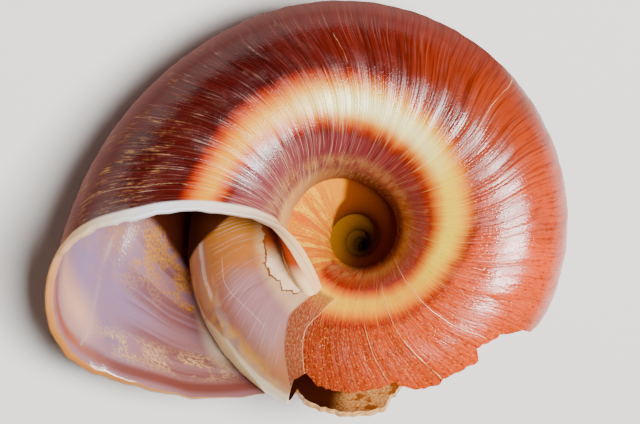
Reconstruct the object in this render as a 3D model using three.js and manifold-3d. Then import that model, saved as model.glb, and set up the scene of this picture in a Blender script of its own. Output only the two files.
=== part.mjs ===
// A land snail shell, lying on its spire with its base and mouth turned up.
// Millimetres and degrees. The shell is one hollow tube that coils about an axis and widens as it
// grows; each turn is laid on the turn before it. A station is an angle along the spiral, 0 where the
// last turn crosses the +X side, growing anticlockwise seen from the base. A place round the tube
// is an angle too: 0 at the periphery, 90 at the base, 180 in the umbilicus, 270 at the spire side.
import * as THREE from "three";
import { mergeVertices } from "three/addons/utils/BufferGeometryUtils.js";
import Module from "manifold-3d";

// Growth of the tube
const radiusAtZero = 18.6; // axis to periphery at station 0
const lateGrowth = 1.466; // widening for each turn, last turn
const earlyGrowth = 1.6; // the same for the turns of the spire
const growthChange = -172; // station where the one passes into the other
const growthBlend = 60;
const mouthFlare = 0.664; // how the last quarter turn swings outward, as a logarithm
const flareStart = 120;
const flareLength = 221;
const umbilicusAtZero = 3.55; // axis to the umbilicus wall at station 0
const umbilicusGrowth = 2.0;
const umbilicusOpening = 0.95; // the last turn leaves the axis by this much more
const openingStart = 60;
const openingLength = 80;
const halfHeightAtZero = 6.7;
const heightGrowth = 1.35;
const climb = 0.76; // height of the tube's centre, as a share of its plain radius
const lastDrop = 1.3; // the last turn drops towards the base before the mouth
const dropStart = 130;
const dropLength = 100;

// Form of the tube across
const crownShare = 0.56; // where the base is fullest, from the umbilicus wall out
const fullness = { baseOut: 2.15, baseIn: 2.3, spire: 2.0 };
const wallAtZero = 0.5;

// The mouth: station of its rim at each place round the tube
const rimStations = [
  [-125, 248],
  [-108, 235.4],
  [-85, 221.3],
  [-47, 207.7],
  [-10, 197.5],
  [10, 191],
  [40, 183.5],
  [75, 179.3],
  [116, 175.6],
  [140, 178],
  [160, 187],
  [172, 203],
  [184, 226],
  [190, 236],
];
const rimThickness = 1.05;
const rimTurnOut = 0.75; // how far the rim is turned outward
const columellaTurnOut = 1.5; // and beside the umbilicus
const turnOutLength = 1.1; // millimetres over which the turn-out fades

// The broken place on the last turn: [station, place] along its base edge and its spire edge
const brokenBaseEdge = [
  [-112.6, 52],
  [-109, 62.5],
  [-103, 57],
  [-92, 54.5],
  [-81, 59.5],
  [-76.5, 63],
  [-74, 58],
  [-67, 48.5],
  [-58.7, 50.5],
  [-47.3, 48],
  [-45, 56.5],
  [-37, 50.5],
  [-31.5, 35],
  [-30.6, 22],
  [-24, 4],
  [-20, -26],
];
const brokenSpireEdge = [
  [-112.6, -40],
  [-109, -31],
  [-103, -27],
  [-94.5, -24],
  [-88, -31],
  [-82, -36.5],
  [-79, -48],
  [-75, -61],
  [-66, -74],
  [-54, -70],
  [-43, -76],
  [-33, -64],
  [-26, -58],
  [-20, -34],
];
const cutOutside = 1.3; // the cut reaches this far out of the outer face
const cutInside = 0.95; // and this far into it, a little over the wall
const cutColumns = 6;

// Fineness of the facets
const sides = 18;
const nucleusStart = -1620;
const nucleusSteps = 6;
const nucleusTaper = 110; // degrees over which the first tip swells
const nucleusRadius = 1; // the rounded button that closes the umbilicus at the tip
const lumenStart = -1328;
const stretch = 260; // degrees of spiral made at a time, under a turn
const stretchSteps = [8, 9, 11, 14, 18, 27]; // along each stretch, from the tip to the mouth
const lap = 4; // degrees by which a stretch starts inside the wall of the one before
const lapThinning = [0.4, 0.05]; // share of the wall it is thinner by on each face, there and at its start
const seat = 0.45; // how deep in the wall of the turn beneath a wall is seated, as a share of it

// How it lies: on its tip and on the turn before the last, its axis leaning away from upright.
const leanAngle = 28.22;
const leanTowards = 137.1; // the direction in which it leans, anticlockwise from +X

const radians = THREE.MathUtils.degToRad;
const smooth = (x) => THREE.MathUtils.smoothstep(x, 0, 1);

// Logarithm of the growth since station 0: the early rate, passing softly into the late one.
function grown(station, late) {
  const slow = Math.log(earlyGrowth) / 360;
  const fast = Math.log(late) / 360;
  const soft = (s) => growthBlend * Math.log1p(Math.exp((s - growthChange) / growthBlend));
  return slow * station + (fast - slow) * (soft(station) - soft(0));
}
const plainRadius = (s) => radiusAtZero * Math.exp(grown(s, lateGrowth));
const outerRadius = (s) =>
  plainRadius(s) * Math.exp(mouthFlare * smooth((s - flareStart) / flareLength));
const umbilicusRadius = (s) =>
  umbilicusAtZero * umbilicusGrowth ** (s / 360) +
  umbilicusOpening * smooth((s - openingStart) / openingLength);
const halfHeight = (s) => halfHeightAtZero * Math.exp(grown(s, heightGrowth));
const centreHeight = (s) =>
  climb * plainRadius(s) + lastDrop * smooth((s - dropStart) / dropLength);
const wallThickness = (s) => wallAtZero * Math.min(1, plainRadius(s) / radiusAtZero) ** 0.35;
const nucleusSwell = (s) =>
  Math.sqrt(1 - (1 - Math.min(1, (s - nucleusStart + 12) / nucleusTaper)) ** 2);

// A point of the tube. inset moves it into the tube, as from the outer to the inner face.
function tubePoint(station, place, inset = 0) {
  const inner = umbilicusRadius(station) + inset;
  const outer = outerRadius(station) - inset;
  const height = halfHeight(station) - inset;
  const crown = inner + (outer - inner) * crownShare;
  const c = Math.cos(radians(place));
  const s = Math.sin(radians(place));
  const half = c >= 0 ? outer - crown : crown - inner;
  const p = s < 0 ? fullness.spire : c >= 0 ? fullness.baseOut : fullness.baseIn;
  const k = (Math.abs(c) ** p + Math.abs(s) ** p) ** (-1 / p) * nucleusSwell(station);
  const r = crown + half * c * k;
  const a = radians(station);
  return new THREE.Vector3(r * Math.cos(a), r * Math.sin(a), centreHeight(station) + height * s * k);
}

// A smooth closed curve through [place, value] pairs that repeat every 360 degrees.
function aroundCurve(pairs) {
  const n = pairs.length;
  const at = (i) => {
    const turns = Math.floor(i / n);
    const [place, value] = pairs[i - turns * n];
    return [place + 360 * turns, value];
  };
  const slope = (i) => (at(i + 1)[1] - at(i - 1)[1]) / (at(i + 1)[0] - at(i - 1)[0]);
  return (place) => {
    let x = place;
    while (x < pairs[0][0]) x += 360;
    while (x >= pairs[0][0] + 360) x -= 360;
    let i = 0;
    while (at(i + 1)[0] <= x) i++;
    const [x0, y0] = at(i);
    const [x1, y1] = at(i + 1);
    const w = x1 - x0;
    const t = (x - x0) / w;
    const a = y0 * (1 + 2 * t) + slope(i) * w * t;
    const b = y1 * (3 - 2 * t) - slope(i + 1) * w * (1 - t);
    return a * (1 - t) ** 2 + b * t ** 2;
  };
}
const rimStation = aroundCurve(rimStations);

// How far the rim turns out at a place: most beside the umbilicus, little on the spire side.
function turnOut(place) {
  const beside = smooth(1 - Math.abs(place - 178) / 30);
  const spire = smooth((-place - 25) / 50) * smooth((place + 165) / 40);
  return rimTurnOut * (1 - 0.7 * spire) + (columellaTurnOut - rimTurnOut) * beside;
}

const places = Array.from({ length: sides }, (_, i) => (i / sides) * 360 - 125);
const ring = (pointAt) => places.map(pointAt);

// Joins rings of points, side by side, to a closed mesh. Without wrap its two ends are capped.
function solidOf(wasm, rings, wrap) {
  const points = rings.flat();
  const faces = [];
  const rows = wrap ? rings.length : rings.length - 1;
  for (let i = 0; i < rows; i++) {
    const here = i * sides;
    const next = ((i + 1) % rings.length) * sides;
    for (let j = 0; j < sides; j++) {
      const k = (j + 1) % sides;
      faces.push(here + j, next + j, next + k, here + j, next + k, here + k);
    }
  }
  if (!wrap) {
    for (const [start, turned] of [[0, false], [(rings.length - 1) * sides, true]]) {
      const middle = new THREE.Vector3();
      for (let j = 0; j < sides; j++) middle.addScaledVector(points[start + j], 1 / sides);
      points.push(middle);
      for (let j = 0; j < sides; j++) {
        const k = (j + 1) % sides;
        const pair = turned ? [start + k, start + j] : [start + j, start + k];
        faces.push(points.length - 1, ...pair);
      }
    }
  }
  return new wasm.Manifold(
    new wasm.Mesh({
      numProp: 3,
      vertProperties: new Float32Array(points.flatMap((p) => p.toArray())),
      triVerts: new Uint32Array(faces),
    }),
  );
}

// Stations of the rows: even along the tip and along each stretch.
const evenly = (from, to, steps) =>
  Array.from({ length: steps + 1 }, (_, i) => from + ((to - from) * i) / steps);
const stretchStart = (i) => lumenStart + i * stretch;
const rows = [
  ...evenly(nucleusStart, lumenStart, nucleusSteps),
  ...stretchSteps.flatMap((steps, i) => evenly(stretchStart(i), stretchStart(i + 1), steps).slice(1)),
];

// Rings of the tube as one solid rod, its face sunk by a share of the wall.
function rod(wasm, stations, sunk) {
  const rings = stations.map((s) => ring((place) => tubePoint(s, place, sunk(s) * wallThickness(s))));
  return solidOf(wasm, rings, false);
}

// What lies beneath a wall: the tube a turn earlier, in the same facets, sunk into its own wall.
function beneath(wasm, from, to) {
  const first = rows.findLastIndex((s) => s <= from - lap - 360);
  const last = rows.findIndex((s) => s >= to + 1 - 360);
  const stations = rows.slice(Math.max(first, 0), last + 1);
  if (first < 0) stations[0] += 3;
  return rod(wasm, stations, () => seat);
}

// One stretch of the tube's wall. Its start is lapped inside the wall of the stretch before.
function plainWall(wasm, from, to) {
  const stations = [from - lap, ...rows.filter((s) => s > from - 0.1 && s < to + 0.1)];
  const outer = [];
  const inner = [];
  stations.forEach((s, row) => {
    const thinner = lapThinning[row] ?? 0;
    outer.push(ring((place) => tubePoint(s, place, thinner * wallThickness(s))));
    inner.unshift(ring((place) => tubePoint(s, place, (1 - thinner) * wallThickness(s))));
  });
  return solidOf(wasm, [...outer, ...inner], true);
}

// The last stretch. Its rows lean over to the rim, which is thicker and turned out.
function mouthWall(wasm, from, steps) {
  const shares = [-1, ...evenly(0, 0.955, steps), 0.985, 1];
  const outer = [];
  const inner = [];
  shares.forEach((share, row) => {
    const thinner = lapThinning[row] ?? 0;
    const stationAt = (place) =>
      share < 0 ? from - lap : from + (rimStation(place) - from) * share;
    const nearRim = (place) => {
      const left = radians(rimStation(place) - stationAt(place)) * outerRadius(rimStation(place));
      return Math.exp((-0.7 * left) / turnOutLength);
    };
    const outerInset = (s, place) => thinner * wallThickness(s) - turnOut(place) * nearRim(place);
    const innerInset = (s, place) => {
      const plain = (1 - thinner) * wallThickness(s);
      return plain + (rimThickness - turnOut(place) - plain) * nearRim(place);
    };
    const face = (inset) => ring((p) => tubePoint(stationAt(p), p, inset(stationAt(p), p)));
    outer.push(face(outerInset));
    inner.unshift(face(innerInset));
  });
  return solidOf(wasm, [...outer, ...inner], true);
}

// The piece that has broken out: a plate that follows the tube's face between the two edges.
function brokenPiece(wasm) {
  const alongEdge = (edge, station) => {
    let i = 0;
    while (i < edge.length - 2 && edge[i + 1][0] < station) i++;
    const [s0, p0] = edge[i];
    const [s1, p1] = edge[i + 1];
    return p0 + ((p1 - p0) * (station - s0)) / (s1 - s0);
  };
  const stations = [...brokenBaseEdge, ...brokenSpireEdge].map(([s]) => s).sort((a, b) => a - b);
  const distinct = stations.filter((s, i) => i === 0 || s - stations[i - 1] > 0.3);
  const layer = (inset) =>
    distinct.map((s) => {
      const top = alongEdge(brokenBaseEdge, s);
      const bottom = alongEdge(brokenSpireEdge, s);
      return Array.from({ length: cutColumns + 1 }, (_, j) =>
        tubePoint(s, bottom + ((top - bottom) * j) / cutColumns, inset),
      );
    });
  const points = [...layer(-cutOutside), ...layer(cutInside)].flat();
  const rowCount = distinct.length;
  const at = (deep, i, j) => (deep * rowCount + i) * (cutColumns + 1) + j;
  const faces = [];
  const quad = (a, b, c, d) => faces.push(a, b, c, a, c, d);
  for (let i = 0; i < rowCount - 1; i++) {
    for (let j = 0; j < cutColumns; j++) {
      quad(at(0, i, j), at(0, i + 1, j), at(0, i + 1, j + 1), at(0, i, j + 1));
      quad(at(1, i, j), at(1, i, j + 1), at(1, i + 1, j + 1), at(1, i + 1, j));
    }
    quad(at(0, i, 0), at(1, i, 0), at(1, i + 1, 0), at(0, i + 1, 0));
    quad(at(0, i, cutColumns), at(0, i + 1, cutColumns), at(1, i + 1, cutColumns), at(1, i, cutColumns));
  }
  const last = rowCount - 1;
  for (let j = 0; j < cutColumns; j++) {
    quad(at(0, 0, j), at(0, 0, j + 1), at(1, 0, j + 1), at(1, 0, j));
    quad(at(0, last, j), at(1, last, j), at(1, last, j + 1), at(0, last, j + 1));
  }
  return new wasm.Manifold(
    new wasm.Mesh({
      numProp: 3,
      vertProperties: new Float32Array(points.flatMap((p) => p.toArray())),
      triVerts: new Uint32Array(faces),
    }),
  );
}

// Builds the shell stretch by stretch: each wall is seated in the wall of the turn beneath it.
async function makeShell() {
  const wasm = await Module();
  wasm.setup();
  const tip = rows.filter((s) => s < lumenStart + 0.1);
  let shell = rod(wasm, tip, () => 0).add(nucleus(wasm));
  stretchSteps.forEach((steps, i) => {
    const from = stretchStart(i);
    const last = i === stretchSteps.length - 1;
    const to = last ? Math.max(...rimStations.map(([, s]) => s)) : stretchStart(i + 1);
    const made = last ? mouthWall(wasm, from, steps) : plainWall(wasm, from, to);
    shell = shell.add(made.subtract(beneath(wasm, from, to)));
  });
  shell = shell.subtract(brokenPiece(wasm));
  return shell;
}

// The rounded button at the tip, which closes the umbilicus there.
function nucleus(wasm) {
  const ball = new THREE.SphereGeometry(nucleusRadius, 16, 10);
  ball.scale(1, 1, 0.8);
  ball.translate(-0.3, 0, centreHeight(nucleusStart));
  return solidFrom(wasm, ball);
}

function solidFrom(wasm, geometry) {
  const bare = new THREE.BufferGeometry();
  bare.setAttribute("position", geometry.getAttribute("position"));
  bare.setIndex(geometry.index);
  const merged = mergeVertices(bare, 1e-4);
  return new wasm.Manifold(
    new wasm.Mesh({
      numProp: 3,
      vertProperties: merged.getAttribute("position").array,
      triVerts: new Uint32Array(merged.index.array),
    }),
  );
}

function geometryOf(solid) {
  const { vertProperties, triVerts } = solid.getMesh();
  const geometry = new THREE.BufferGeometry();
  geometry.setAttribute("position", new THREE.BufferAttribute(vertProperties, 3));
  geometry.setIndex(new THREE.BufferAttribute(triVerts, 1));
  return geometry;
}

const shell = new THREE.Mesh(
  geometryOf(await makeShell()),
  new THREE.MeshStandardMaterial({ color: 0x9c3f1f, roughness: 0.35, metalness: 0 }),
);
shell.name = "shell";

const leaning = new THREE.Group();
const leanAxis = new THREE.Vector3(-Math.sin(radians(leanTowards)), Math.cos(radians(leanTowards)), 0);
leaning.quaternion.setFromAxisAngle(leanAxis, radians(leanAngle));
leaning.add(shell);

// The ground is at zero height, and the origin is in the middle of the shell's extent.
const group = new THREE.Group();
group.add(leaning);
group.updateMatrixWorld(true);
const extent = new THREE.Box3().setFromObject(leaning, true);
const middle = extent.getCenter(new THREE.Vector3());
leaning.position.set(-middle.x, -middle.y, -extent.min.z);

export default group;
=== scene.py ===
import bpy
import numpy as np
from mathutils import Matrix, Vector


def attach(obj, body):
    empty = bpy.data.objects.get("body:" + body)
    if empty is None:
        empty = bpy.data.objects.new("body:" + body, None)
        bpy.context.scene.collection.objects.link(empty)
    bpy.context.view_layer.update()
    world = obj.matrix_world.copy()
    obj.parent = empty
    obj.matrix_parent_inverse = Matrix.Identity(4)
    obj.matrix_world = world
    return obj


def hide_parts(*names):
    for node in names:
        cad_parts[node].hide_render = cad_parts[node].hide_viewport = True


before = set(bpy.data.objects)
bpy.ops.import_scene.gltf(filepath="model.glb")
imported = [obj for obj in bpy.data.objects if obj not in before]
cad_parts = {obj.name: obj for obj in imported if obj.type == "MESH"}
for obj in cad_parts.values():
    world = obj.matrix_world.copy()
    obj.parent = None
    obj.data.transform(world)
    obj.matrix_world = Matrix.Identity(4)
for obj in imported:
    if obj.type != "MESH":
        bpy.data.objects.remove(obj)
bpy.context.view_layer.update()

# ---- Camera ----
# A long lens looks almost along the shell's axis onto its base. The shell leans on its spire, so
# the camera stands beside and above it, and its upper edge is turned away from upright.
MM = 0.001
LEAN, LEAN_TOWARDS = np.radians(28.22), np.radians(137.1)
PLACE = Vector((9.672, -6.3927, -0.0382))
at_rest = Matrix.Rotation(LEAN, 4, Vector((-np.sin(LEAN_TOWARDS), np.cos(LEAN_TOWARDS), 0)))
at_rest = Matrix.Scale(MM, 4) @ Matrix.Translation(PLACE) @ at_rest
view_right = Vector((0.99840, 0.0, -0.05654))
view_up = Vector((0.00609, 0.99419, 0.10748))
view_back = Vector((0.05621, -0.10765, 0.99260))
AIM_ALONG_AXIS, AIM_LEFT, AIM_UP, DISTANCE = 15.86, 3.198, 1.700, 246.7
aim = Vector((0, 0, AIM_ALONG_AXIS)) - AIM_LEFT * view_right + AIM_UP * view_up
stand = at_rest @ (aim + DISTANCE * view_back)
turned = at_rest.to_3x3().normalized() @ Matrix((view_right, view_up, view_back)).transposed()

lens = bpy.data.cameras.new("long_lens")
lens.sensor_width = 36.0
lens.lens = 157.5
lens.clip_start = 0.01
lens.clip_end = 10.0
camera = bpy.data.objects.new("long_lens", lens)
camera.matrix_world = Matrix.Translation(stand) @ turned.to_4x4()
bpy.context.scene.collection.objects.link(camera)
bpy.context.scene.camera = camera

# ---- Shell: the growth of the tube ----
# The snail laid the shell down at the edge of its mouth, so the shell is one tube that coils and
# widens. A station is an angle along the coil and a place is an angle round the tube: 0 at its
# outermost line, 90 on the base, 180 in the umbilicus. Lengths are millimetres until the mesh.
RADIUS, HALF_HEIGHT, UMBILICUS = 18.6, 6.7, 3.55  # at station 0
CHANGE_AT, CHANGE_OVER = 172, 60  # the growth changed this many degrees before station 0, over so many
CLIMB = 0.76  # height of the tube's centre for each millimetre of its radius
CROWN = 0.56  # share of the tube's width at which it is highest
ROUNDED_FROM, ROUNDED_OVER = -1632, 110  # the first of the tube is closed like a thimble


def smooth(x):
    """A soft step: 0 up to 0, 1 from 1 on."""
    x = np.clip(x, 0, 1)
    return x * x * (3 - 2 * x)


def grown(station, late):
    """Natural logarithm of the growth since station 0: 1.6 a turn at first and late a turn in the end."""
    at_first, in_the_end = np.log(1.6) / 360, np.log(late) / 360
    changed = np.logaddexp(0, (station + CHANGE_AT) / CHANGE_OVER) - np.logaddexp(0, CHANGE_AT / CHANGE_OVER)
    return at_first * station + (in_the_end - at_first) * (CHANGE_OVER * changed)


def plain_radius(station):
    return RADIUS * np.exp(grown(station, 1.466))


def outer_radius(station):
    """The last half turn widens faster, towards the mouth."""
    return plain_radius(station) * np.exp(0.664 * smooth((station - 120) / 221))


def tube(station):
    """Umbilicus radius, outer radius, half height and height of the tube's centre."""
    inner = UMBILICUS * 2.0 ** (station / 360) + 0.95 * smooth((station - 60) / 80)
    half_height = HALF_HEIGHT * np.exp(grown(station, 1.35))
    centre = CLIMB * plain_radius(station) + 1.3 * smooth((station - 130) / 100)
    return inner, outer_radius(station), half_height, centre


def fullness(c, s):
    """Power of the rounded section: 2 is an ellipse, and the base is a little fuller."""
    return np.where(s < 0, 2.0, np.where(c >= 0, 2.15, 2.3))


def tube_point(station, place, inset):
    """Points of the tube, moved in from its outer face by inset."""
    inner, outer, half_height, centre = tube(station)
    inner, outer, half_height = inner + inset, outer - inset, half_height - inset
    crown = inner + (outer - inner) * CROWN
    c, s = np.cos(np.radians(place)), np.sin(np.radians(place))
    p = fullness(c, s)
    swell = np.sqrt(1 - (1 - np.minimum(1, (station - ROUNDED_FROM) / ROUNDED_OVER)) ** 2)
    k = (np.abs(c) ** p + np.abs(s) ** p) ** (-1 / p) * swell
    r = crown + np.where(c >= 0, outer - crown, crown - inner) * c * k
    a = np.radians(station)
    return np.stack([r * np.cos(a), r * np.sin(a), centre + half_height * s * k], -1)


def wall_thickness(station):
    """Half a millimetre in the last turns, thinner in the early ones."""
    return 0.5 * np.minimum(1, plain_radius(station) / RADIUS) ** 0.35


def along_places(table):
    """Reads a table of (place, value) smoothly at any place round the tube."""
    at, value = np.array(table, float).T
    at, value = np.r_[at[-1] - 360, at, at[0] + 360], np.r_[value[-1], value, value[0]]
    slope = np.gradient(value, at)

    def read(place):
        x = (np.asarray(place, float) - table[0][0]) % 360 + table[0][0]
        i = np.clip(np.searchsorted(at, x, "right") - 1, 0, len(at) - 2)
        w = at[i + 1] - at[i]
        t = (x - at[i]) / w
        a = value[i] * (1 + 2 * t) + slope[i] * w * t
        b = value[i + 1] * (3 - 2 * t) - slope[i + 1] * w * (1 - t)
        return a * (1 - t) ** 2 + b * t**2

    return read


smooth_rim = along_places(
    [(-125, 248), (-108, 235.4), (-85, 221.3), (-47, 207.7), (-10, 197.5), (10, 191), (40, 183.5),
     (75, 179.3), (116, 175.6), (140, 178), (160, 187), (172, 203), (184, 226), (190, 236)]
)


def rim_station(place):
    """Where the mouth's edge lies, a little uneven as a grown lip is."""
    p = np.radians(place)
    return smooth_rim(place) + 0.22 * np.sin(9 * p + 1) + 0.16 * np.sin(23 * p) + 0.1 * np.sin(41 * p + 2)


# How far a growth line runs ahead of itself from place to place: it sweeps back across the base.
line_sweep = along_places(
    [(-120, 22), (-90, 18), (-60, 15), (-30, 13), (0, 12), (30, 9), (60, 7), (90, 2), (112, 0),
     (137, 5), (150, 12), (180, 25), (210, 28)]
)


def growth_time(station, place):
    """The growth line through a point, named by its station on the base."""
    near_lip = smooth((station - 125) / 60)
    sweep = (1 - near_lip) * line_sweep(place) + near_lip * (smooth_rim(place) - 175.6)
    return station - sweep


def growth_folds(station, place):
    """Low uneven folds along the growth lines, where the snail grew by fits and starts."""
    g = growth_time(station, place)
    wave = np.sin(g * 0.61 + 0.9 * np.sin(g * 0.13)) + 0.7 * np.sin(g * 1.37 + 1.3 * np.sin(g * 0.21))
    return 0.022 * wave * smooth((plain_radius(station) - 5) / 10) * smooth((130 - np.abs(place - 40)) / 60)


# ---- Shell: the body of the wall ----
# The wall is crossed-lamellar aragonite about half a millimetre thick. Each stretch is a closed
# tube with a thick wall, cut by the turn it was laid on and joined to it. The lip is a thickened
# bead turned outward, and a piece has broken out of the last turn.
TIP, HOLLOW_FROM, STRETCH = -1620, -1328, 260
LAP = 4  # degrees by which a stretch starts inside the one before
OUTSIDE, INSIDE, IN_THE_BREAK = 0.0, 1.0, 0.5  # the corners' depth in the wall
starts = [HOLLOW_FROM + STRETCH * i for i in range(6)]
row_steps = [34, 40, 48, 64, 130, 190]
side_counts = [56, 56, 60, 84, 132, 150]
rows = np.concatenate(
    [np.linspace(TIP, HOLLOW_FROM, 25)[:-1]]
    + [np.linspace(a, a + STRETCH, n + 1)[:-1] for a, n in zip(starts, row_steps)]
)


def closed_piece(name, rings, wrap, marks):
    """A closed mesh over rings of points, whose corners keep where on the shell they lie."""
    points = np.stack(rings)
    count, sides = points.shape[:2]
    here = np.arange(count * sides).reshape(count, sides)
    here = np.concatenate([here, here[:, :1]], 1)
    marks = {k: np.stack([np.broadcast_to(row, sides) for row in v]) for k, v in marks.items()}
    marks = {k: np.concatenate([v, v[:, :1] + 360 * (k == "place")], 1) for k, v in marks.items()}
    if wrap:
        here = np.concatenate([here, here[:1]])
        marks = {k: np.concatenate([v, v[:1]]) for k, v in marks.items()}

    def corners(grid):
        return np.stack([grid[:-1, :-1], grid[1:, :-1], grid[1:, 1:], grid[:-1, 1:]], -1).reshape(-1, 4)

    faces = corners(here).tolist()
    at_corners = {k: corners(v).ravel() for k, v in marks.items()}
    if not wrap:
        faces += [here[0, :-1].tolist(), here[-1, -2::-1].tolist()]
        at_corners = {k: np.r_[v, marks[k][0, :-1], marks[k][-1, -2::-1]] for k, v in at_corners.items()}
    mesh = bpy.data.meshes.new(name)
    mesh.from_pydata(points.reshape(-1, 3).tolist(), [], faces)
    for key, value in at_corners.items():
        mesh.attributes.new(key, "FLOAT", "CORNER").data.foreach_set("value", value)
    piece = bpy.data.objects.new(name, mesh)
    bpy.context.scene.collection.objects.link(piece)
    return piece


def combine(piece, other, how):
    """Cuts a piece by another or joins them, and uses the other up."""
    step = piece.modifiers.new("step", "BOOLEAN")
    step.operation, step.object, step.solver = how, other, "MANIFOLD"
    result = bpy.data.meshes.new_from_object(piece.evaluated_get(bpy.context.evaluated_depsgraph_get()))
    piece.modifiers.clear()
    piece.data = result
    bpy.data.objects.remove(other)


def places_round(sides):
    """Places from the seam on the spire side, all the way round."""
    return -125 + 360 * np.arange(sides) / sides


def rod(first, last, sides, sunk):
    """The solid that a turn lies on, sunk by a share of the wall below the face of the turn beneath."""
    place = places_round(sides)
    chosen = rows[(rows >= first) & (rows <= last)]
    rings = [tube_point(s, place, sunk * wall_thickness(s)) for s in chosen]
    marks = {"station": chosen, "place": [place] * len(chosen), "depth": [OUTSIDE] * len(chosen)}
    return closed_piece("beneath", rings, False, marks)


def plain_wall(start, end, steps, sides):
    """A stretch of wall whose first rows lie inside the wall of the stretch before."""
    place = places_round(sides)
    out = np.r_[start - LAP, np.linspace(start, end, steps + 1)]
    back = np.r_[start - LAP, np.linspace(start, end, steps // 2 + 1)][::-1]
    faces = [(s, OUTSIDE) for s in out] + [(s, INSIDE) for s in back]
    rings, drawn_in = [], {start - LAP: 0.4, start: 0.05}
    for s, depth in faces:
        share = depth + (0.5 - depth) * 2 * drawn_in.get(s, 0.0)
        rings.append(tube_point(s, place, share * wall_thickness(s) - (1 - depth) * growth_folds(s, place)))
    marks = {"station": [f[0] for f in faces], "depth": [f[1] for f in faces], "place": [place] * len(faces)}
    return closed_piece("wall", rings, True, marks)


def turned_out(place):
    """How far the lip leans out of the tube, most beside the umbilicus and least at the spire."""
    beside = smooth(1 - np.abs(place - 178) / 30)
    spire = smooth((-place - 25) / 50) * smooth((place + 165) / 40)
    return 0.75 * (1 - 0.7 * spire) + 0.75 * beside


def mouth_wall(start, steps, sides):
    """The last stretch, which ends at the lip: outer face, rounded bead and inner face."""
    LEANS_OVER = 1.1  # millimetres from the lip over which the wall starts to lean out
    NEARLY_THERE = 0.955  # share of the stretch after which the rows stand closer
    place = places_round(sides)
    rim, lean = rim_station(place), turned_out(place)
    bead = 0.78 + 0.3 * smooth((place - 20) / 60) * smooth((215 - place) / 30)

    def near_rim(station):
        return np.exp(-np.radians(rim - station) * 0.7 * outer_radius(rim) / LEANS_OVER)

    close = NEARLY_THERE + (1 - NEARLY_THERE) * (1 - (1 - np.linspace(0, 1, 15)) ** 1.5)
    out_shares = np.unique(np.r_[np.linspace(0, NEARLY_THERE, steps), close])
    in_shares = np.unique(np.r_[np.linspace(0, NEARLY_THERE, steps * 3 // 5), close])
    rings, stations, depths = [], [], []

    def ring(station, inset, depth):
        rings.append(tube_point(station, place, inset))
        stations.append(station + 0 * place)
        depths.append(depth)

    ring(start - LAP, 0.4 * wall_thickness(start), OUTSIDE)
    for x in out_shares:
        s = start + (rim - start) * x
        drawn_in = 0.05 * wall_thickness(s) if x == 0 else 0.0
        ring(s, drawn_in - lean * near_rim(s) - growth_folds(s, place) * (1 - x**8), OUTSIDE)
    for t in np.linspace(0, 1, 11)[1:-1]:
        bulge = np.degrees(0.42 * bead * np.sin(np.pi * t) / outer_radius(rim))
        ring(rim + bulge, -lean + bead * (1 - np.cos(np.pi * t)) / 2, t)
    for x in in_shares[::-1]:
        s = start + (rim - start) * x
        plain = (0.95 if x == 0 else 1.0) * wall_thickness(s)
        ring(s, plain + (bead - lean - plain) * near_rim(s), INSIDE)
    ring(start - LAP, 0.6 * wall_thickness(start), INSIDE)
    marks = {"station": stations, "depth": depths, "place": [place] * len(rings)}
    return closed_piece("mouth", rings, True, marks)


def broken_piece():
    """What has broken out: a plate that follows the wall between two jagged edges."""
    FROM, TO = -112.6, -20
    base_edge = np.array(
        [(FROM, 52), (-109, 62.5), (-103, 57), (-92, 54.5), (-81, 59.5), (-76.5, 63), (-74, 58),
         (-67, 48.5), (-58.7, 50.5), (-47.3, 48), (-45, 56.5), (-37, 50.5), (-31.5, 35), (-30.6, 22),
         (-24, 4), (TO, -26)]
    )
    spire_edge = np.array(
        [(FROM, -40), (-109, -31), (-103, -27), (-94.5, -24), (-88, -31), (-82, -36.5), (-79, -48),
         (-75, -61), (-66, -74), (-54, -70), (-43, -76), (-33, -64), (-26, -58), (TO, -34)]
    )
    chance = np.random.default_rng(7)
    stations = np.unique(np.r_[np.arange(FROM, TO, 0.55), base_edge[:, 0]])
    stations = stations[np.r_[True, np.diff(stations) > 0.12]]
    hold = smooth((stations - FROM) / 3) * smooth((TO - stations) / 5)
    spread = [0.2, 0.5, 0.8, 0.5, 0.2]
    fray = [np.convolve(chance.normal(0, 1, len(stations) + 4), spread, "valid") for _ in range(2)]
    high = np.interp(stations, *base_edge.T) + 0.8 * fray[0] * hold
    low = np.interp(stations, *spire_edge.T) + 1.0 * fray[1] * hold
    across = np.linspace(0, 1, 27)
    rings, places = [], []
    for station, from_place, to_place in zip(stations, low, high):
        place = from_place + (to_place - from_place) * across
        outer_side, inner_side = tube_point(station, place, -1.3), tube_point(station, place, 0.95)
        rings.append(np.concatenate([outer_side, inner_side[::-1]]))
        places.append(np.r_[place, place[::-1]])
    count = len(rings)
    marks = {"station": stations, "place": places, "depth": [IN_THE_BREAK] * count, "torn": [1.0] * count}
    return closed_piece("broken_piece", rings, False, marks)


shell = rod(TIP, HOLLOW_FROM + 0.1, side_counts[0], 0.0)
shell.name = "shell_wall"
bpy.ops.mesh.primitive_uv_sphere_add(segments=32, ring_count=16, radius=1.0)
first_shell = bpy.context.object
first_shell.data.transform(
    Matrix.Translation((-0.3, 0, CLIMB * float(plain_radius(TIP)))) @ Matrix.Diagonal((1, 1, 0.8, 1))
)
combine(shell, first_shell, "UNION")
for i, start in enumerate(starts):
    last = i == len(starts) - 1
    if last:
        wall = mouth_wall(start, row_steps[i], side_counts[i])
    else:
        wall = plain_wall(start, start + STRETCH, row_steps[i], side_counts[i])
    below_from, below_to = max(TIP + 3, start - 372), start - (72 if last else 90)
    turn_below = rod(below_from, below_to, side_counts[max(i - 1, 0)], 0.45)
    combine(wall, turn_below, "DIFFERENCE")
    combine(shell, wall, "UNION")
combine(shell, broken_piece(), "DIFFERENCE")

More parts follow.
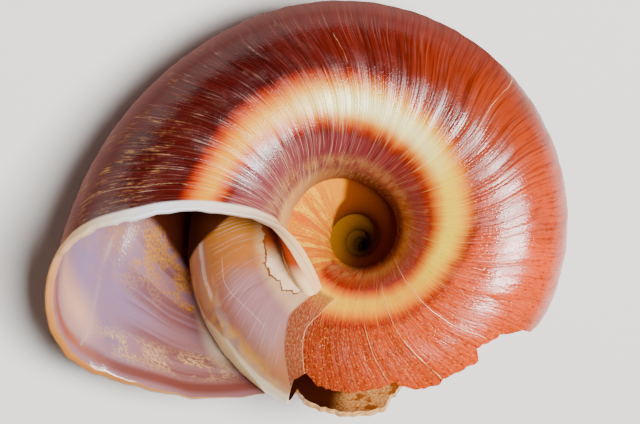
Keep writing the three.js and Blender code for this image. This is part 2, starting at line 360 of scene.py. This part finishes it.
# ---- Shell: where each corner lies ----
# The colours, scars, glaze and dirt follow the growth lines, the band, the lip and the crack.
# Every corner of the mesh carries its distances from these, in millimetres.
mesh = shell.data


def corner_values(name):
    values = np.empty(len(mesh.loops), np.float32)
    mesh.attributes[name].data.foreach_get("value", values)
    return values.astype(float)


station, place, depth = (corner_values(n) for n in ("station", "place", "depth"))
point = np.empty(len(mesh.vertices) * 3, np.float32)
mesh.vertices.foreach_get("co", point)
corner_vertex = np.empty(len(mesh.loops), np.int32)
mesh.loops.foreach_get("vertex_index", corner_vertex)
point = point.reshape(-1, 3)[corner_vertex].astype(float)
unmarked = (station == 0) & (place == 0)  # the rounded first shell
station[unmarked] = TIP
place[unmarked] = np.where(point[unmarked, 2] > CLIMB * plain_radius(TIP), 150, 0)
for name, values in (("station", station), ("place", place)):
    mesh.attributes[name].data.foreach_set("value", values.astype(np.float32))


def outside_tube(station, point):
    """How far a point lies outside the tube at a station, negative inside it."""
    inner, outer, half_height, centre = tube(station)
    crown = inner + (outer - inner) * CROWN
    across, up = np.hypot(point[:, 0], point[:, 1]) - crown, point[:, 2] - centre
    half = np.where(across >= 0, outer - crown, crown - inner)
    p = fullness(across, up)
    level = (np.abs(across / half) ** p + np.abs(up / half_height) ** p) ** (1 / p)
    return (level - 1) * np.hypot(across, up)


from_axis = np.hypot(point[:, 0], point[:, 1])
to_lip = np.radians(smooth_rim(place) - station) * np.maximum(from_axis, 4)

# Outer faces that the next turn has covered, which are the wall inside the mouth.
next_turn_covers = (outside_tube(station + 360, point) < -0.42) & (station < -150)
roofed = np.where(depth < 0.5, next_turn_covers, True)

# Millimetres along the coil from its start to each growth line.
arc = np.linspace(-1700, 300, 4001)
arc_length = np.concatenate([[0], np.cumsum(np.radians(0.5) * plain_radius(arc[1:]))])

glaze_edge = along_places(
    [(-125, -112), (45.9, -113), (59.5, -116.2), (72.1, -120.1), (79.1, -122.2), (90.1, -125.2),
     (96.5, -127), (105.9, -125.9), (112.9, -124.4), (121.7, -121.6), (140, -118)]
)
band_outer = np.interp(
    station,
    [-75, -48, -19, 5, 24, 47, 79, 111, 135, 160],
    [110.2, 109.7, 107.4, 103.5, 102, 100.6, 98.1, 97.8, 99.6, 103.1],
)
band_inner = 125.5 - 0.05 * station.clip(-160, 170)
crack = np.interp(station, [-190, -177, -150, -139, -133, -128], [101, 102.7, 102.7, 105.5, 111, 116])
stripe = np.interp(station, [-165, -151, -145, -139, -127, -116], [6, 20, 28, 33, 31, 28])
thread = np.interp(station, [-167, -159, -153, -145, -137], [67, 64, 67, 73, 76])
# Where painted shade starts: in the mouth, past a distance from the lip, and on the turn before, past a
# station.
shade_from_lip = np.interp(place, [-108, -100, -95, -85, -73, -60], [9.6, 10.7, 11.6, 12.7, 13.3, 13.6])
shade_on_turn = np.interp(place, [21, 43, 59, 70, 90], [-171, -175.5, -180, -185, -196])
# Where painted shade starts deep in the umbilicus, by place.
deep_from = np.interp(place, [127, 143, 150, 170], [-259, -250, -235, -200])
layout = {
    "growth": np.interp(growth_time(station, place), arc, arc_length),
    "around": np.radians(place) * plain_radius(station) * 0.45,
    "band": (place - band_outer) / (band_inner - band_outer),
    "to_lip": to_lip,
    "under_glaze": np.radians(glaze_edge(place) - station) * from_axis,
    "from_crack": 0.12 * (place - crack),
    "from_stripe": 0.13 * (place - stripe),
    "from_thread": 0.13 * (place - thread),
    "in_painted_shade": np.where(depth > 0.5, to_lip - shade_from_lip, -0.3 * (station - shade_on_turn)),
    "deep": np.radians(deep_from - station) * from_axis,
    "roofed": roofed,
}
for name, values in layout.items():
    mesh.attributes.new(name, "FLOAT", "CORNER").data.foreach_set("value", values.astype(np.float32))

mesh.transform(at_rest)
mesh.update()
mesh.shade_smooth()
mesh.set_sharp_from_angle(angle=np.radians(42))
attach(shell, "root")
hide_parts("shell")

# ---- Shell: its finish ----
# Outside, a thin grown skin of brown conchiolin, the periostracum, lies over the lime: glossy, and
# ribbed by the growth lines. Inside, the snail laid down a smooth glaze of aragonite that shines like
# porcelain: its index is 1.53 to 1.69 by direction. Soil is left in the umbilicus and in the mouth.
finish = bpy.data.materials.new("periostracum_on_aragonite")
finish.use_nodes = True
finish.node_tree.nodes.clear()


def linear(code):
    """Turns an sRGB hex colour into the linear colour that a shader takes."""
    channels = [int(code[i : i + 2], 16) / 255 for i in (1, 3, 5)]
    return tuple(c / 12.92 if c < 0.04045 else ((c + 0.055) / 1.055) ** 2.4 for c in channels) + (1.0,)


def add(kind, *inputs, out=0, stops=None, **settings):
    """Adds a node; each input is a number, a hex colour or the output of another node."""
    made = finish.node_tree.nodes.new("ShaderNode" + kind)
    for key, value in settings.items():
        setattr(made, key, value)
    for i, (place, colour) in enumerate(stops or []):
        ramp = made.color_ramp.elements
        stop = ramp[i] if i < len(ramp) else ramp.new(place)
        stop.position, stop.color = place, linear(colour)
    chosen = inputs[0] if len(inputs) == 1 and isinstance(inputs[0], dict) else dict(enumerate(inputs))
    for key, value in chosen.items():
        if isinstance(value, bpy.types.NodeSocket):
            finish.node_tree.links.new(value, made.inputs[key])
        elif value is not None:
            made.inputs[key].default_value = linear(value) if isinstance(value, str) else value
    return made.outputs[out]


def together(values, how):
    """Works several values into one, first to last."""
    result = values[0]
    for value in values[1:]:
        result = add("Math", result, value, operation=how)
    return result


def both(*masks):
    """Where every one of these holds; a plain number gives its strength."""
    return together(masks, "MULTIPLY")


def either(*masks):
    """Where any of these holds."""
    return together(masks, "MAXIMUM")


def without(mask):
    """Where this doesn't hold."""
    return together((1.0, mask), "SUBTRACT")


def rise(value, low, high):
    """0 below low and 1 above high, or the other way round, with a soft step between."""
    return add("MapRange", value, low, high, 0.0, 1.0, interpolation_type="SMOOTHSTEP")


def within(value, low, high, soft):
    """1 between low and high, with an edge that fades over twice soft."""
    return both(rise(value, low - soft, low + soft), rise(value, high + soft, high - soft))


def painted(coat, *layers, blend="MIX"):
    """Lays colours one over another, each where its mask holds."""
    for mask, colour in layers:
        coat = add("Mix", {0: mask, 6: coat, 7: colour}, data_type="RGBA", blend_type=blend, out=2)
    return coat


marked = {
    name: add("Attribute", attribute_name=name, out=2)
    for name in [*layout, "station", "place", "depth", "torn"]
}
station_at, place_at, depth_at = marked["station"], marked["place"], marked["depth"]
to_lip, under_glaze, in_painted_shade = marked["to_lip"], marked["under_glaze"], marked["in_painted_shade"]


def grain(along, across, detail=3.0, roughness=0.55, seed=0.0):
    """Noise whose spots measure along x across millimetres on the shell, by the growth lines."""
    along_at, across_at = both(marked["growth"], 1 / along), both(marked["around"], 1 / across)
    at = add("CombineXYZ", along_at, across_at, both(depth_at, 7.0))
    return add("TexNoise", {0: at, 1: seed, 2: 1.0, 3: detail, 4: roughness}, noise_dimensions="4D")


# Patterns, from the size of the real marks: growth lines stand about 0.3 mm apart. Grains of soil and
# scratches are under 0.1 mm, which is a pixel of the render, and are drawn two to three times as coarse.
growth_lines = grain(0.3, 8.0, detail=2.0, seed=1.0)
streaks = grain(1.4, 30.0, seed=2.0)
clouds = grain(7.0, 9.0, seed=3.0)
soil = grain(0.24, 0.28, detail=4.0, roughness=0.7, seed=4.0)
hairs = grain(0.13, 6.0, detail=1.0, seed=5.0)
specks = grain(0.24, 0.24, detail=1.0, seed=6.0)
patches = grain(2.2, 2.6, detail=4.0, roughness=0.6, seed=7.0)
grit = grain(0.28, 0.8, roughness=0.7, seed=8.0)
dust = grain(0.22, 2.2, detail=4.0, roughness=0.7, seed=9.0)

# Periostracum: chestnut near the lip, where it is new, and worn to an orange red further back. The ramp
# also holds painted light: it is brightest on the right, where the lamp's sheen lies, and darkest on the
# upper left, away from the lamp, as painted shade. The colours are deeper than the skin's own, because
# rich colours come out paler in a bright picture.
age = add("MapRange", station_at, -125.0, 180.0, 0.0, 1.0)
skin_stops = [(0.0, "#862a08"), (0.2, "#d24704"), (0.38, "#e24e1c"), (0.52, "#a2350e"), (0.66, "#6e1505"),
              (0.8, "#460401"), (1.0, "#4b0702")]
inner_stops = [(0.0, "#a83d1d"), (0.45, "#882b19"), (0.75, "#7c2c30"), (1.0, "#8e4448")]

# The band: cream where no brown was laid down, with burnt-orange edges drawn out by the growth lines.
band_stops = [(0.1, "#8e2006"), (0.17, "#a83002"), (0.25, "#cc6202"), (0.33, "#f0a004"), (0.43, "#ffd820"),
              (0.55, "#ffe23c"), (0.63, "#f4a808"), (0.71, "#d06804"), (0.78, "#a42c02"), (0.86, "#802006")]
# The band's tint along the coil: partly its own, and white from about station 58 to 95 as painted highlight.
band_age_stops = [(0.05, "#ffd870"), (0.25, "#ffc454"), (0.36, "#fff8a0"), (0.47, "#ffe890"),
                  (0.6, "#ffffff"), (0.72, "#ffffff"), (0.81, "#f4c450"), (0.91, "#f0b448")]
ragged = together((marked["band"], both(growth_lines, 0.2), both(streaks, 0.3), -0.25), "ADD")
band = add("ValToRGB", add("MapRange", ragged, -0.6, 1.6, 0.0, 1.0), stops=band_stops)
band = painted(
    band,
    (both(rise(patches, 0.56, 0.72), 0.5), "#f09a20"),
    (both(rise(growth_lines, 0.6, 0.68), 0.3), "#fff2a8"),
)
band = painted(band, (1.0, add("ValToRGB", age, stops=band_age_stops)), blend="MULTIPLY")
# Painted highlight: pale cream over the middle of the band, stations 40 to 105, where the lamp's glare lies.
painted_band_glare = both(within(station_at, 40.0, 105.0, 20.0), within(marked["band"], 0.3, 0.75, 0.2), 0.6)
band = painted(band, (painted_band_glare, "#fff6c0"))

skin = painted(
    add("ValToRGB", age, stops=skin_stops),
    (rise(ragged, 1.05, 1.4), add("ValToRGB", age, stops=inner_stops)),
    (within(ragged, -0.3, 1.28, 0.16), band),
)
off_band = without(both(within(ragged, -0.05, 1.1, 0.15), 0.75))
lower = rise(station_at, 60.0, -30.0)
lines_show = add("MapRange", lower, 0.0, 1.0, 0.55, 0.35)
skin = painted(
    skin,
    (both(rise(streaks, 0.48, 0.72), without(lower), off_band, 0.35), "#8c5c50"),
    (both(rise(growth_lines, 0.52, 0.38), off_band, lines_show), "#8c6860"),
    (both(rise(grit, 0.5, 0.36), off_band, lower, 0.65), "#8a5040"),
    (both(rise(clouds, 0.5, 0.7), off_band, 0.4), "#a08c88"),
    blend="MULTIPLY",
)
# Greyer towards the outermost line of the last turn, from station 10 round to the lip.
greyer_outer_line = add("ValToRGB", age, stops=[(0.55, "#86504a"), (0.8, "#a87c76")])
skin = painted(
    skin,
    (both(rise(hairs, 0.58, 0.66), off_band, 0.1), "#d8907c"),
    (both(rise(place_at, 62.0, 20.0), rise(station_at, 10.0, 90.0), 0.5), greyer_outer_line),
)

# Scars where growth once stopped, as thin pale ridges: growth line, first and last place, strength.
wander = both(together((clouds, patches, -1.0), "ADD"), 0.8)
lines = []
for line, first, last, strength in [
    (-47.5, 58.0, 148.0, 1.0), (34.5, 8.0, 102.0, 0.6), (167, 30.0, 132.0, 0.35), (-68, 52.0, 134.0, 0.85),
    (-84, 64.0, 111.0, 0.6), (145, 119.0, 154.0, 0.8), (90, 65.0, 86.0, 0.4),
]:
    middle = together((wander, float(np.interp(line, arc, arc_length))), "ADD")
    off = together((together((marked["growth"], middle), "SUBTRACT"), both(soil, 0.25)), "ADD")
    off = add("Math", off, operation="ABSOLUTE")
    lines.append(both(rise(off, 0.06, 0.015), within(place_at, first, last, 2.5), strength))
scars = both(either(*lines), rise(patches, 0.3, 0.5), 0.85)

# Umbilicus: ochre lime without skin, with soil lying on it. The last turn's wall across the hole and the
# turns deep inside are painted dark brown as shade.
before_mouth = rise(station_at, -128.0, -134.0)
in_hole = either(rise(place_at, 151.0, 161.0), both(before_mouth, rise(place_at, 112.0, 118.0)))
under_lip = within(station_at, -230.0, -126.0, 15.0)
past_mouth = rise(station_at, -126.0, -118.0)
ochre = painted(
    # Along the coil: ochre on the turn before, painted shade in dark brown on the last turn's wall from
    # station -90 to 90, pale by the lip.
    add("ValToRGB", add("MapRange", station_at, -420.0, 180.0, 0.0, 1.0),
        stops=[(0.0, "#d88408"), (0.32, "#d88408"), (0.46, "#d07c08"), (0.55, "#642c0a"),
               (0.85, "#6e3014"), (1.0, "#e09c58")]),
    (both(rise(patches, 0.46, 0.58), under_lip, 0.8), "#f4b828"),
    (both(rise(soil, 0.5, 0.58), under_lip, 0.8), "#a45c10"),
    (both(rise(streaks, 0.44, 0.56), rise(patches, 0.36, 0.5), under_lip, 0.75), "#c4480c"),
    (both(rise(dust, 0.48, 0.6), past_mouth, 0.7), "#b88850"),
    # Painted shade: dark brown on the turns deep in the hole, lighter olive brown on the oldest of them.
    (rise(marked["deep"], -0.5, 0.3), painted("#6c3003", (rise(station_at, -440.0, -520.0), "#825006"))),
)

# Over the skin: soil in fine hairlines round the umbilicus and as dust behind the lip, the scars,
# and a brown line with a pale thread along the edge of the glaze.
rim_soil = both(within(place_at, 143.0, 153.0, 5.0), rise(soil, 0.38, 0.54), rise(patches, 0.36, 0.56))
rim_soil = both(rim_soil, rise(station_at, -134.0, -128.0), 0.8)
new_growth = rise(station_at, 60.0, 150.0)
newest = rise(station_at, 90.0, 130.0)
behind_lip = both(rise(to_lip, 14.0, 4.0), rise(place_at, 92.0, 70.0))
by_mouth = both(within(station_at, -152.0, -95.0, 4.0), rise(place_at, 124.0, 120.0))
glaze_line = together((both(together((patches, 0.5), "SUBTRACT"), 0.6), under_glaze, 1.8), "ADD")
glaze_line = add("Math", glaze_line, operation="ABSOLUTE")
outside = painted(
    skin,
    (in_hole, ochre),
    (rim_soil, "#b07840"),
    (both(rise(hairs, 0.62, 0.7), within(place_at, 132.0, 158.0, 7.0), past_mouth, 0.6), "#d8a878"),
    (both(rise(hairs, 0.57, 0.66), within(place_at, 128.0, 166.0, 8.0), rise(station_at, 95.0, 130.0), 0.8),
     "#d8b080"),
    (both(rise(hairs, 0.62, 0.7), new_growth, rise(patches, 0.5, 0.64), 0.5), "#dcb8a0"),
    (both(rise(hairs, 0.6, 0.68), new_growth, rise(place_at, 108.0, 118.0), 0.5), "#e4c0a8"),
    (both(behind_lip, rise(dust, 0.52, 0.62), rise(patches, 0.4, 0.56), 0.7), "#b88448"),
    (both(newest, rise(place_at, 88.0, 74.0), rise(dust, 0.54, 0.64), rise(patches, 0.52, 0.62), 0.45),
     "#c08c60"),
    (both(rise(specks, 0.57, 0.66), rise(station_at, 20.0, -50.0), rise(marked["band"], 0.0, -0.4), 0.45),
     "#e89850"),
    (scars, "#f4c890"),
    (both(within(under_glaze, -1.7, 0.1, 0.25), by_mouth, 0.8),
     painted("#8c3c20", (both(rise(soil, 0.45, 0.6), 0.7), "#b87c50"))),
    (both(rise(glaze_line, 0.06, 0.02), rise(soil, 0.4, 0.5), by_mouth, 0.8), "#e4b880"),
)

# The glaze inside: mauve over brown, bluish in the middle, cream towards the lip.
glaze = painted(
    add("ValToRGB", clouds, stops=[(0.35, "#a06c6c"), (0.5, "#9c7076"), (0.62, "#8c6c84")]),
    (both(within(place_at, -82.0, -40.0, 16.0), within(to_lip, 4.5, 10.5, 2.5), 0.5), "#80709c"),
    (both(within(place_at, -40.0, 0.0, 10.0), within(to_lip, 5.5, 12.0, 2.0), 0.5), "#9484ac"),
    (both(rise(place_at, -74.0, -94.0), rise(to_lip, 9.0, 5.0), 0.5), "#8a544c"),
    (both(rise(streaks, 0.45, 0.6), rise(place_at, -55.0, -80.0), 0.6), "#6e342a"),
    (both(within(to_lip, 2.0, 5.0, 2.0), within(place_at, -42.0, 5.0, 12.0), 0.9), "#e8ac8c"),
    (both(within(to_lip, 0.4, 1.5, 0.4), rise(place_at, -20.0, -60.0), 0.8), "#6c2c18"),
    (both(within(to_lip, 0.4, 1.2, 0.3), rise(place_at, -60.0, -20.0), 0.8), "#a04c24"),
    (both(rise(place_at, -101.0, -109.0), within(to_lip, 3.6, 11.0, 1.6)), "#f8dcb8"),
    (rise(place_at, 150.0, 165.0), "#a83c14"),
    (rise(place_at, 176.0, 186.0), "#ffcf98"),
)

# Soil that lies in the mouth, painted shade where the tube winds out of sight, and the turn before as it
# shows through the broken place.
lying_soil = both(rise(soil, 0.46, 0.56), rise(patches, 0.44, 0.56))
beside_shade = both(rise(place_at, -60.0, -75.0), within(in_painted_shade, -3.4, 0.6, 0.8))
along_lip = both(within(place_at, -108.0, -48.0, 8.0), within(to_lip, 2.0, 3.9, 0.8))
far_in = rise(to_lip, 38.0, 48.0)
through_break = painted("#b86420", (rise(soil, 0.4, 0.6), "#dca060"), (rise(patches, 0.5, 0.6), "#8e4410"))
glaze = painted(
    glaze,
    (both(beside_shade, rise(soil, 0.42, 0.54), rise(patches, 0.44, 0.54)),
     painted("#d88c18", (rise(specks, 0.5, 0.6), "#a04c0c"))),
    (both(along_lip, rise(soil, 0.44, 0.54), rise(patches, 0.42, 0.52), 0.9), "#d4a468"),
    (both(lying_soil, within(to_lip, 8.0, 13.0, 2.0), 0.75), "#c08a38"),
    # Painted shade: dark brown where the tube winds out of sight.
    (both(rise(in_painted_shade, -0.3, 0.5), rise(to_lip, 60.0, 50.0), 0.97), "#401404"),
    (far_in, through_break),
    # Painted shade: dark brown far inside the tube, from about station -95 back.
    (both(rise(station_at, -92.0, -101.0), far_in), "#3c1404"),
)

# The wall between mouth and turn before: the same glaze, thin, over the skin of the turn before. It
# has a crack, a stripe of soil, a pale pad past the stripe and a pale thread along its middle. Where it
# winds into the tube it is painted dark as shade.
# Along the coil the wall is dark brown at station -200, where it goes into the tube: painted shade.
wall_stops = [(0.0, "#7c4416"), (0.2, "#b06c20"), (0.4, "#a86434"), (0.55, "#9c5c4c"), (0.75, "#a06858"),
              (1.0, "#c47c44")]
from_stripe = marked["from_stripe"]
crack_off = together((both(together((patches, 0.5), "SUBTRACT"), 2.2), marked["from_crack"]), "ADD")
past_crack = rise(crack_off, -0.05, 0.1)
on_crack = rise(add("Math", crack_off, operation="ABSOLUTE"), 0.13, 0.04)
on_thread = rise(add("Math", marked["from_thread"], operation="ABSOLUTE"), 0.055, 0.015)
wall_in_mouth = painted(
    add("ValToRGB", add("MapRange", station_at, -200.0, -110.0, 0.0, 1.0), stops=wall_stops),
    (both(within(place_at, 64.0, 98.0, 10.0), within(station_at, -160.0, -122.0, 8.0), 0.4), "#b88c9c"),
    (both(within(from_stripe, 0.3, 4.5, 0.8), within(station_at, -176.0, -152.0, 4.0), 0.7), "#d08a30"),
    (both(within(from_stripe, 0.6, 2.6, 0.7), rise(patches, 0.4, 0.56), 0.8), "#d8922a"),
    (both(within(place_at, 98.0, 124.0, 5.0), 0.5), "#f0c890"),
    (both(rise(hairs, 0.58, 0.68), within(place_at, 55.0, 110.0, 10.0), 0.25), "#ecd4cc"),
    (both(within(station_at, -178.0, -158.0, 4.0), lying_soil, 0.7), "#c8681c"),
    (both(rise(from_stripe, 1.0, 0.2), rise(station_at, -168.0, -152.0)), "#ffdc9c"),
    (both(past_crack, rise(station_at, -168.0, -158.0)), "#f4cca4"),
    (both(past_crack, rise(station_at, -164.0, -174.0)), "#b04c18"),
    # Painted shade: dark brown where the wall winds out of sight.
    (both(rise(in_painted_shade, -0.4, 0.4), 0.95), "#401404"),
    (both(on_thread, within(station_at, -168.0, -134.0, 3.0), 0.45), "#ecd0b4"),
    (both(on_crack, within(station_at, -178.0, -130.0, 2.0)), "#7c4418"),
)
inside = painted(glaze, (rise(depth_at, 0.6, 0.4), wall_in_mouth))

# The lip: bare white lime, bluish in the middle of its length and tan with soil at its ends.
lip_stops = [(0.0, "#e0a860"), (0.2, "#c47a38"), (0.34, "#c8803c"), (0.44, "#d89860"), (0.54, "#ecc498"),
             (0.66, "#f4f6ff"), (0.76, "#fae4cc"), (0.86, "#f0c490"), (1.0, "#ecb880")]
lip_lime = add("ValToRGB", add("MapRange", place_at, -120.0, 200.0, 0.0, 1.0), stops=lip_stops)
on_lip = both(rise(depth_at, 1.0, 0.85), rise(to_lip, 0.9, 0.6))
beside_mouth = both(rise(under_glaze, -0.1, 0.1), by_mouth, rise(place_at, 4.0, 12.0))
beside_mouth = both(beside_mouth, rise(depth_at, 0.5, 0.4))
glazed = either(add("Math", marked["roofed"], 0.5, operation="GREATER_THAN"), beside_mouth)
bare = without(glazed)
broken_lime = painted("#e0b070", (rise(growth_lines, 0.45, 0.65), "#b47440"))
in_break = add("Math", marked["torn"], 0.5, operation="GREATER_THAN")
colour = painted(outside, (glazed, inside), (on_lip, lip_lime), (in_break, broken_lime))

# Relief: growth lines stand up a few hundredths of a millimetre, and so do scars and soil. The glaze
# is nearly smooth.
RELIEF_STRENGTH, RELIEF_HEIGHT = 0.7, 0.00012
line_relief = add("MapRange", lower, 0.0, 1.0, 0.6, 0.3)
relief = together((both(growth_lines, line_relief), both(streaks, 0.3), both(grit, lower, 0.35)), "ADD")
relief = both(relief, add("MapRange", glazed, 0.0, 1.0, 1.0, 0.07))
soil_relief = both(rise(soil, 0.5, 0.66), add("MapRange", glazed, 0.0, 1.0, 0.14, 0.05))
relief = together((relief, both(scars, 0.3), soil_relief), "ADD")
relief = add("Bump", RELIEF_STRENGTH, RELIEF_HEIGHT, 1.0, relief)

# Gloss: the skin is glossy in patches and duller between them, the glaze is even, and the umbilicus is
# matt. The reflection is turned down where the pale floor and room would veil a dark or deep colour: on
# the outermost line of the last turn, in the umbilicus, in the painted shade of the tube and on the
# newest band.
gloss = add("MapRange", growth_lines, 0.3, 0.7, 0.14, 0.27)
gloss = together((gloss, add("MapRange", patches, 0.42, 0.62, -0.02, 0.16)), "ADD")
gloss = add("Mix", {0: glazed, 2: gloss, 3: 0.13}, out=0)
gloss = add("Mix", {0: both(in_hole, bare), 2: gloss, 3: 0.75}, out=0)
veiled = either(
    both(rise(place_at, 74.0, 44.0), rise(station_at, -10.0, 50.0), bare),
    both(in_hole, rise(place_at, 112.0, 118.0)),
    both(rise(in_painted_shade, -0.2, 0.3), glazed),
    both(within(marked["band"], 0.0, 1.0, 0.15), within(station_at, 104.0, 156.0, 12.0), 0.55),
)
shine = add("MapRange", veiled, 0.0, 1.0, 0.5, 0.0)
shader = finish.node_tree.nodes.new("ShaderNodeBsdfPrincipled")
for socket, value in (
    ("Base Color", colour), ("Roughness", gloss), ("Normal", relief), ("Specular IOR Level", shine)
):
    finish.node_tree.links.new(value, shader.inputs[socket])
shader.inputs["IOR"].default_value = 1.63
surface = finish.node_tree.nodes.new("ShaderNodeOutputMaterial")
finish.node_tree.links.new(shader.outputs[0], surface.inputs[0])
mesh.materials.clear()
mesh.materials.append(finish)

# ---- Floor ----
# A plain matt card under the shell, which touches it with its spire and the turn before the last.
FLOOR_HALF = 2
floor_mesh = bpy.data.meshes.new("floor")
low = min(v.co.z for v in mesh.vertices)
floor_mesh.from_pydata(
    [(x * FLOOR_HALF, y * FLOOR_HALF, low) for x, y in ((-1, -1), (1, -1), (1, 1), (-1, 1))],
    [],
    [(0, 1, 2, 3)],
)
floor = bpy.data.objects.new("floor", floor_mesh)
bpy.context.scene.collection.objects.link(floor)
card = bpy.data.materials.new("matt_card")
card.use_nodes = True
card.node_tree.nodes["Principled BSDF"].inputs["Base Color"].default_value = linear("#f2f0ec")
card.node_tree.nodes["Principled BSDF"].inputs["Roughness"].default_value = 0.9
floor_mesh.materials.append(card)

# ---- Light ----
# A long soft box stands to the right of the camera, and a dim pale room fills the shadows.
LAMP_DISTANCE, LAMP_LONG, LAMP_SHORT, LAMP_WATTS, ROOM_STRENGTH = 0.32, 0.2, 0.1, 2.7, 0.1
heart = at_rest @ Vector((0, 0, 14))
lamp = bpy.data.lights.new("soft_box", "AREA")
lamp.shape, lamp.size, lamp.size_y, lamp.energy = "RECTANGLE", LAMP_LONG, LAMP_SHORT, LAMP_WATTS
way = (0.44 * view_right - 0.05 * view_up + 0.88 * view_back).normalized()
side = view_up.cross(way).normalized()
facing = at_rest.to_3x3().normalized() @ Matrix((side, way.cross(side), way)).transposed()
light = bpy.data.objects.new("soft_box", lamp)
light.matrix_world = Matrix.Translation(heart + LAMP_DISTANCE * facing.col[2]) @ facing.to_4x4()
bpy.context.scene.collection.objects.link(light)
room = bpy.data.worlds.new("room")
room.use_nodes = True
room.node_tree.nodes["Background"].inputs[0].default_value = linear("#f2eee8")
room.node_tree.nodes["Background"].inputs[1].default_value = ROOM_STRENGTH
bpy.context.scene.world = room

bpy.context.view_layer.update()
